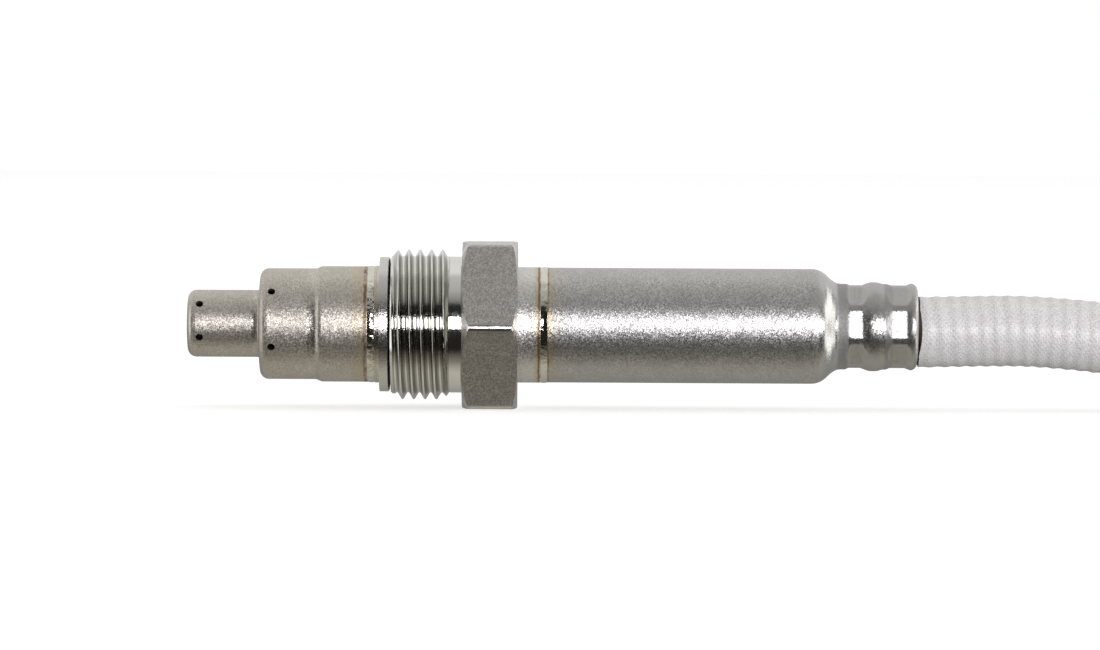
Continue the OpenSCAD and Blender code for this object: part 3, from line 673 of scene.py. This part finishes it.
def cover_steel():
    """The outer cover: blasted, with slow flares and a glossy bead at its rear end."""
    look = Look("cover_steel", COVER_STEEL, 0.45, metallic=1)
    x = look.along("X")
    bead = look.band(x, *FRONT_WELD, BEAD_SOFT)
    shade = look.blasted(COVER_STEEL, x, COVER_TINT)
    look.set("Base Color", look.mix(bead, shade, WELD_PALE))
    rough = look.sum(look.blasted_roughness(0.45), (bead, -0.3))
    lean = 0.0
    for low, high, at_low, at_high in COVER_FLARES:
        flare = look.band(x, low, high, FLARE_SOFT)
        lean = look.sum(lean, (flare, look.between(x, low, high, at_low, at_high)))
        rough = look.sum(rough, (flare, -0.1))
    look.set("Roughness", rough)
    blast = look.math("SUBTRACT", 1.0, bead)
    normal = look.leaning(look.surface(), lean)
    normal = look.tilted(normal, look.math("MULTIPLY", blast, BLAST_LEAN))
    look.set("Normal", look.bump(look.noise(1.4, 3), BEAD_LUMPS, strength=bead, normal=normal))
    return look.material


def casing_steel():
    """The casing: blasted, glossy bead in front, swept shoulder, scuffed neck with painted shade.
    """
    look = Look("casing_steel", CASING_STEEL, 0.4, metallic=1)
    x = look.along("X")
    bead = look.band(x, *REAR_WELD, BEAD_SOFT)
    drawn = look.between(x, SHOULDER[0] - SHOULDER_SOFT, SHOULDER[0] + SHOULDER_SOFT)
    sweep = look.band(x, *SHOULDER, SHOULDER_SOFT)
    shade = look.blasted(CASING_STEEL, x, CASING_TINT)
    shade = look.mix(drawn, shade, darker(CASING_STEEL, 0.76))
    rough = look.sum(look.blasted_roughness(0.4), (bead, -0.3), (drawn, -0.07), (sweep, -0.06))
    for low, high, added in SCUFFS_AND_SHADE:
        scuff_and_shade = look.band(x, low, high, SCUFF_AND_SHADE_SOFT)
        # A scuff is rougher, and its darker colour is painted shade that dims the strip's
        # highlight
        shade = look.mix(scuff_and_shade, shade, darker(CASING_STEEL, 0.68))
        rough = look.sum(rough, (scuff_and_shade, added))
    shade = look.mix(sweep, shade, darker(CASING_STEEL, 0.85))
    look.set("Base Color", look.mix(bead, shade, WELD_PALE))
    look.set("Roughness", rough)
    blast = look.math("MULTIPLY", look.math("SUBTRACT", 1.0, bead), look.sum(1.0, (sweep, -0.85)))
    edges = look.node("ShaderNodeBevel", {"Radius": PRINT_EDGE_R * MM}, samples=4)
    normal = look.tilted(edges, look.math("MULTIPLY", blast, BLAST_LEAN))
    outward = look.vector("NORMALIZE", look.vector("MULTIPLY", look.position(), (0, 1, 1)))
    normal = look.mix(bead, normal, look.leaning(outward, look.between(x, *REAR_WELD, *BEAD_LEAN)))
    lumps = look.math("MULTIPLY", bead, 0.5)
    look.set("Normal", look.bump(look.noise(1.4, 3), BEAD_LUMPS, strength=lumps, normal=normal))
    return look.material


def shell_steel():
    """The shell: satin turned collar, painted shade on the barrel in the gap, blasted land behind
    the nut.
    """
    look = Look("shell_steel", TURNED_STEEL, 0.2, metallic=1)
    x = look.along("X")
    land = look.between(x, NUT_X1 - 0.1, NUT_X1 + 0.1)
    inner = look.between(look.radius(), GAP_R - 0.05, GAP_R + 0.05, 1.0, 0.0)
    gap = look.math("MULTIPLY", look.band(x, GAP_X0, GAP_X1, 0.04), inner)
    rings = look.noise(0.14, 2, stretch=(1, 0.04, 0.04))
    grain = look.noise(0.22, 2)
    blasted = look.mix(look.between(grain, 0.35, 0.65), darker(LAND_STEEL, 0.78), LAND_STEEL)
    shade = look.mix(land, TURNED_STEEL, blasted)
    shade = look.tinted(shade, x, SHELL_TINT, 0.4)
    # The barrel inside the gap is painted nearly black as painted shade
    look.set("Base Color", look.mix(gap, shade, PAINTED_GAP_SHADE))
    rough = look.between(grain, 0.3, 0.7, 0.2, 0.32)
    look.set("Roughness", look.sum(rough, (land, 0.12), (gap, 0.4)))
    normal = look.tilted(look.surface(), look.math("MULTIPLY", land, BLAST_LEAN))
    look.set("Normal", look.bump(look.math("ADD", rings, grain), 0.02, normal=normal))
    return look.material


def thread_steel():
    """The nut's turned faces and its rolled thread: glossy roots and crests, duller flanks."""
    look = Look("thread_steel", TURNED_STEEL, 0.16, metallic=1)
    r = look.radius()
    thread_end = THREAD_X1 + RUN_OUT
    roots = look.between(r, *ROOT_POLISH, 1.0, 0.0)
    polished = look.math("ADD", roots, look.between(r, *CREST_POLISH))
    on_thread = look.between(look.along("X"), thread_end, thread_end + 0.1, 1.0, 0.0)
    dull = look.math("MULTIPLY", look.math("SUBTRACT", 1.0, polished), on_thread)
    look.set("Base Color", look.mix(dull, POLISHED_STEEL, FLANK_STEEL))
    grain = look.noise(0.2, 2)
    look.set("Roughness", look.between(grain, 0.3, 0.7, 0.06, 0.15))
    look.set("Normal", look.bump(grain, 0.008))
    return look.material


def milled_steel():
    """Matt bar-stock surface of the hexagon's flats."""
    look = Look("milled_steel", MILLED_STEEL, 0.34, metallic=1)
    cloud = look.between(look.noise(3, 3), 0.3, 0.7)
    streaks = look.between(look.noise(0.9, 2, stretch=(0.12, 1, 1)), 0.5, 0.75)
    shade = look.mix(cloud, MILLED_STEEL, darker(MILLED_STEEL, 0.9))
    shade = look.mix(streaks, shade, darker(MILLED_STEEL, 1.15))
    grain = look.between(look.cells(), 0.2, 0.8)
    look.set("Base Color", look.mix(grain, darker(MILLED_STEEL, 0.64), shade))
    look.set("Normal", look.tilted(look.surface(), 0.08))
    return look.material


def turned_steel(name, colour, roughness):
    """Glossy turned metal with fine lathe rings."""
    look = Look(name, colour, roughness, metallic=1)
    rings = look.noise(0.12, 2, stretch=(1, 0.02, 0.02))
    patches = look.between(look.noise(1.5, 3), 0.3, 0.7, roughness * 0.7, roughness * 1.5)
    look.set("Roughness", patches)
    look.set("Normal", look.bump(rings, 0.006))
    return look.material


def glass_sleeve():
    """Coated glass-fibre braid: crossed diagonal threads that catch the light."""
    look = Look("glass_sleeve", (0.7, 0.68, 0.68), 0.45)
    look.set("Coat Weight", 0.4)
    look.set("Coat Roughness", 0.3)
    uv = look.node("ShaderNodeUVMap", {}, uv_map="along")
    around, along = [
        look.math("MULTIPLY", look.node("ShaderNodeSeparateXYZ", {0: uv}, output=axis), 1000)
        for axis in ("X", "Y")
    ]
    stray = look.math("MULTIPLY", look.noise(1.2, 2), 0.35)
    threads = []
    for slant in (WEAVE_SLANT, -WEAVE_SLANT):
        place = look.math("ADD", look.sum(along, (around, slant)), stray)
        threads.append(look.math("SINE", look.math("MULTIPLY", place, math.tau / WEAVE_PITCH)))
    weave = look.math("MAXIMUM", *threads)
    fibres = look.noise(0.2, 2)
    tone = look.between(look.noise(2.5, 2), 0.3, 0.7)
    colour = look.mix(tone, *SLEEVE_TONES)
    colour = look.mix(look.between(weave, 0, 1, 0.0, 0.3), colour, SLEEVE_THREAD)
    look.set("Base Color", look.mix(look.between(fibres, 0.35, 0.6), SLEEVE_GAP, colour))
    look.set("Normal", look.bump(look.sum(fibres, (weave, 0.35)), 0.045))
    return look.material


def grommet_rubber():
    """Brown rubber at the lip against the sleeve, with black painted shadow behind it nearer the
    rim.
    """
    look = Look("grommet_rubber", (0.02, 0.015, 0.012), 0.6)
    lip = look.between(look.along("X"), *(SLEEVE_X0 - distance for distance in LIP))
    # Black painted shadow nearer the rim, the rubber's own brown at the lip
    look.set("Base Color", look.mix(lip, GROMMET_SHADOW, GROMMET_BROWN))
    look.set("Normal", look.bump(look.noise(0.4, 3), 0.02))
    return look.material


def plain(name, colour, roughness, grain, depth, metallic=0):
    """A matt material with a fine grain, for ceramic, rubber and moulded plastic."""
    look = Look(name, colour, roughness, metallic=metallic)
    texture = look.noise(grain, 3)
    look.set("Base Color", look.mix(look.between(texture, 0.3, 0.7), darker(colour, 0.86), colour))
    look.set("Normal", look.bump(texture, depth))
    return look.material


def dress(lead, nut):
    """Gives the CAD nodes, the lead and the nut their materials."""
    strip = turned_steel("spring_strip", (0.68, 0.66, 0.6), 0.25)
    dull = turned_steel("dull_metal", (0.58, 0.57, 0.55), 0.35)
    alumina = plain("alumina", (0.86, 0.84, 0.79), 0.6, 0.5, 0.01)
    talc = plain("talc", (0.72, 0.7, 0.66), 0.8, 0.6, 0.03)
    moulded = plain("moulded_plastic", (0.045, 0.045, 0.05), 0.5, 0.3, 0.01)
    looks = {
        "outer_cover": cover_steel(),
        # The inner cover is given a very dark steel colour
        "inner_cover": plain("dark_inner_steel", (0.14, 0.13, 0.12), 0.4, 0.3, 0.01, metallic=1),
        "main_shell": shell_steel(),
        "casing_tube": casing_steel(),
        "sensing_element": plain("zirconia", (0.82, 0.81, 0.78), 0.5, 0.4, 0.005),
        "front_insulator": alumina,
        "middle_insulator": alumina,
        "rear_insulator": alumina,
        "upper_contact_housing": alumina,
        "lower_contact_housing": alumina,
        "front_talc_ring": talc,
        "rear_talc_ring": talc,
        "packing_ring": dull,
        "crimp_ferrules": dull,
        "upper_contacts": strip,
        "lower_contacts": strip,
        "clamp_band": strip,
        "housing_retainer": turned_steel("bright_steel", (0.75, 0.74, 0.72), 0.2),
        "lead_wires": plain("wire_insulation", (0.8, 0.8, 0.78), 0.4, 1.0, 0.005),
        "cable_grommet": grommet_rubber(),
        "hank_ties": plain("tie_plastic", (0.03, 0.03, 0.03), 0.45, 0.5, 0.008),
        "connector_housing": moulded,
        "connector_cap": moulded,
        "connector_seal": plain("seal_rubber", (0.5, 0.14, 0.06), 0.5, 0.5, 0.01),
        "connector_lock_plate": plain("lock_plastic", (0.75, 0.32, 0.06), 0.45, 0.4, 0.008),
        "connector_sockets": turned_steel("plated_contact", (0.85, 0.65, 0.32), 0.25),
    }
    for node, material in looks.items():
        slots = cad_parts[node].data.materials
        slots.clear()
        slots.append(material)
    lead.data.materials.append(glass_sleeve())
    lead.data.materials.append(plain("sleeve_end", (0.16, 0.1, 0.07), 0.7, 0.3, 0.02))
    nut_looks = {
        TURNED: thread_steel(),
        MILLED: milled_steel(),
        # The nut's bore: painted shade, nearly black
        SHADED_BORE: plain("painted_bore_shade", PAINTED_GAP_SHADE, 0.7, 0.3, 0.01),
        WORN: plain("worn_edge", (0.62, 0.6, 0.58), 0.24, 0.5, 0.02, metallic=1),
    }
    for surface in sorted(nut_looks):
        nut.data.materials.append(nut_looks[surface])


# Studio


# The room's brightness by the angle above the camera, in degrees: light above and behind, a
# dark room round the camera, warm light from below
ROOM = [
    (-180, (0.34, 0.335, 0.32)), (-150, (0.38, 0.375, 0.35)), (-125, (0.52, 0.505, 0.455)),
    (-90, (0.62, 0.6, 0.53)), (-76, (0.46, 0.44, 0.38)), (-68, (0.3, 0.28, 0.24)),
    (-56, (0.17, 0.155, 0.13)), (-44, (0.02, 0.02, 0.015)), (24, (0.015, 0.015, 0.015)),
    (33, (0.03, 0.035, 0.03)), (40, (0.3, 0.3, 0.29)), (60, (0.56, 0.56, 0.54)),
    (88, (0.68, 0.67, 0.66)), (100, (1, 1, 0.98)), (180, (0.8, 0.8, 0.8)),
]
ROOM_END = (0.36, 0.37, 0.38)

# The room's size in millimetres; from BACK_DEPTH behind the axis on, its wall takes the ends'
# colour beyond BACK_HALF_L along X
ROOM_R = 1500
ROOM_HALF_L = 2400
ROOM_SIDES = 96
BACK_HALF_L = 1400
BACK_DEPTH = 500

# Softboxes: azimuth and height of the middle in degrees, 0 towards the camera and positive to
# the right and up, then distance, width and height in metres, radiance and colour
SOFTBOXES = {
    "right_softbox": (101, 2, 1.4, 1.5, 1.5, 2.2, (1, 0.985, 0.93)),
    "left_softbox": (-86, 2, 1.4, 1.45, 1.5, 1.0, (1, 0.98, 0.95)),
}

# The strip over the camera: its low and high side in degrees above the camera, its ends along
# X and its distance in metres
STRIP_ANGLES = (-5.5, 11)
STRIP_X = (-0.07, 2.34)
STRIP_DISTANCE = 1.35
STRIP_RADIANCE = 12
STRIP_COLOUR = (0.98, 0.965, 1)

# The floor in millimetres, its glow in the camera's view, and the world's strength as fill
FLOOR_HALF = 3000
FLOOR_GAP = 0.02
FLOOR_GLOW = 0.66
FILL_STRENGTH = 0.6


def add_room():
    """A tube-shaped room round the X axis that only reflections and fill light see."""
    points = []
    for i in range(ROOM_SIDES):
        a = math.tau * i / ROOM_SIDES
        y = -ROOM_R * math.cos(a)
        z = ROOM_R * math.sin(a)
        points += [(-ROOM_HALF_L, y, z), (ROOM_HALF_L, y, z)]
    count = len(points)
    faces = [(i, i + 1, (i + 3) % count, (i + 2) % count) for i in range(0, count, 2)]
    ends = [list(range(0, count, 2)), list(range(1, count, 2))]
    room = mesh_object("room", points, faces + ends, [0] * len(faces) + [1, 1])
    wall = Look("room_wall", BLACK, 1)
    depth = wall.along("Y")
    angle = wall.math("ARCTAN2", wall.along("Z"), wall.math("MULTIPLY", depth, -1))
    camera_share = CAMERA_ELEVATION / math.tau
    share = wall.math("ADD", wall.math("DIVIDE", angle, math.tau), 0.5 - camera_share)
    ramp = wall.node("ShaderNodeValToRGB", {0: share})
    stops = ramp.node.color_ramp.elements
    while len(stops) < len(ROOM):
        stops.new(1)
    for stop, (degrees, colour) in zip(stops, ROOM):
        stop.position = (degrees + 180) / 360
        stop.color = (*colour, 1)
    aside = wall.math("ABSOLUTE", wall.along("X"))
    beyond = wall.between(aside, BACK_HALF_L, 1.2 * BACK_HALF_L)
    behind = wall.between(depth, 0.0, BACK_DEPTH)
    wall.set("Emission Color", wall.mix(wall.math("MULTIPLY", beyond, behind), ramp, ROOM_END))
    end = Look("room_end", BLACK, 1)
    end.set("Emission Color", (*ROOM_END, 1))
    for look in (wall, end):
        look.set("Emission Strength", 1)
        look.set("Specular IOR Level", 0)
        room.data.materials.append(look.material)
    room.visible_camera = False
    room.visible_shadow = False


def add_lamp(name, towards, middle, width, height, radiance, colour):
    """A rectangular lamp of an even radiance, in a direction from what it lights."""
    data = bpy.data.lights.new(name, "AREA")
    data.shape = "RECTANGLE"
    data.size = width
    data.size_y = height
    data.color = colour
    data.energy = radiance * math.pi * width * height
    lamp = bpy.data.objects.new(name, data)
    lamp.location = middle
    lamp.rotation_mode = "QUATERNION"
    lamp.rotation_quaternion = towards.to_track_quat("Z", "Y")
    lamp.visible_camera = False
    bpy.context.scene.collection.objects.link(lamp)


def add_lamps():
    """A long strip over the camera and a softbox at each end."""
    low, high = (math.radians(a) + CAMERA_ELEVATION for a in STRIP_ANGLES)
    rise = (low + high) / 2
    towards = Vector((0, -math.cos(rise), math.sin(rise)))
    middle = towards * STRIP_DISTANCE + Vector((sum(STRIP_X) / 2, 0, 0))
    width = STRIP_X[1] - STRIP_X[0]
    height = 2 * STRIP_DISTANCE * math.tan((high - low) / 2)
    add_lamp("strip", towards, middle, width, height, STRIP_RADIANCE, STRIP_COLOUR)
    for name, (azimuth, elevation, distance, *light) in SOFTBOXES.items():
        a = math.radians(azimuth)
        b = math.radians(elevation)
        towards = Vector((math.sin(a) * math.cos(b), -math.cos(a) * math.cos(b), math.sin(b)))
        add_lamp(name, towards, towards * distance, *light)


def add_floor():
    """A white floor on which the nut and the ties lie; it keeps their shadow."""
    z = FLOOR_Z - FLOOR_GAP
    corners = [(-1, -1), (1, -1), (1, 1), (-1, 1)]
    points = [(x * FLOOR_HALF, y * FLOOR_HALF, z) for x, y in corners]
    floor = mesh_object("floor", points, [(0, 1, 2, 3)])
    look = Look("floor_white", (0.5, 0.5, 0.5), 1)
    seen = look.node("ShaderNodeLightPath", {}, output="Is Camera Ray")
    look.set("Specular IOR Level", 0)
    look.set("Emission Color", (1, 1, 1, 1))
    look.set("Emission Strength", look.math("MULTIPLY", seen, FLOOR_GLOW))
    floor.data.materials.append(look.material)
    floor.visible_glossy = False


def add_world():
    """White to the camera and in reflections, dimmer as fill light."""
    world = bpy.data.worlds.new("white_room")
    world.use_nodes = True
    tree = world.node_tree
    background = tree.nodes["Background"]
    background.inputs["Color"].default_value = (1, 1, 1, 1)
    path = tree.nodes.new("ShaderNodeLightPath")
    seen = path.outputs["Is Camera Ray"]
    for name in ("Is Glossy Ray", "Is Transmission Ray"):
        either = tree.nodes.new("ShaderNodeMath")
        either.operation = "MAXIMUM"
        tree.links.new(seen, either.inputs[0])
        tree.links.new(path.outputs[name], either.inputs[1])
        seen = either.outputs[0]
    strength = tree.nodes.new("ShaderNodeMapRange")
    strength.inputs["To Min"].default_value = FILL_STRENGTH
    strength.inputs["To Max"].default_value = 1
    tree.links.new(seen, strength.inputs["Value"])
    tree.links.new(strength.outputs[0], background.inputs["Strength"])
    bpy.context.scene.world = world


add_camera()
dress(add_lead(), add_nut())
add_room()
add_lamps()
add_floor()
add_world()
bpy.context.scene.view_settings.view_transform = "Standard"
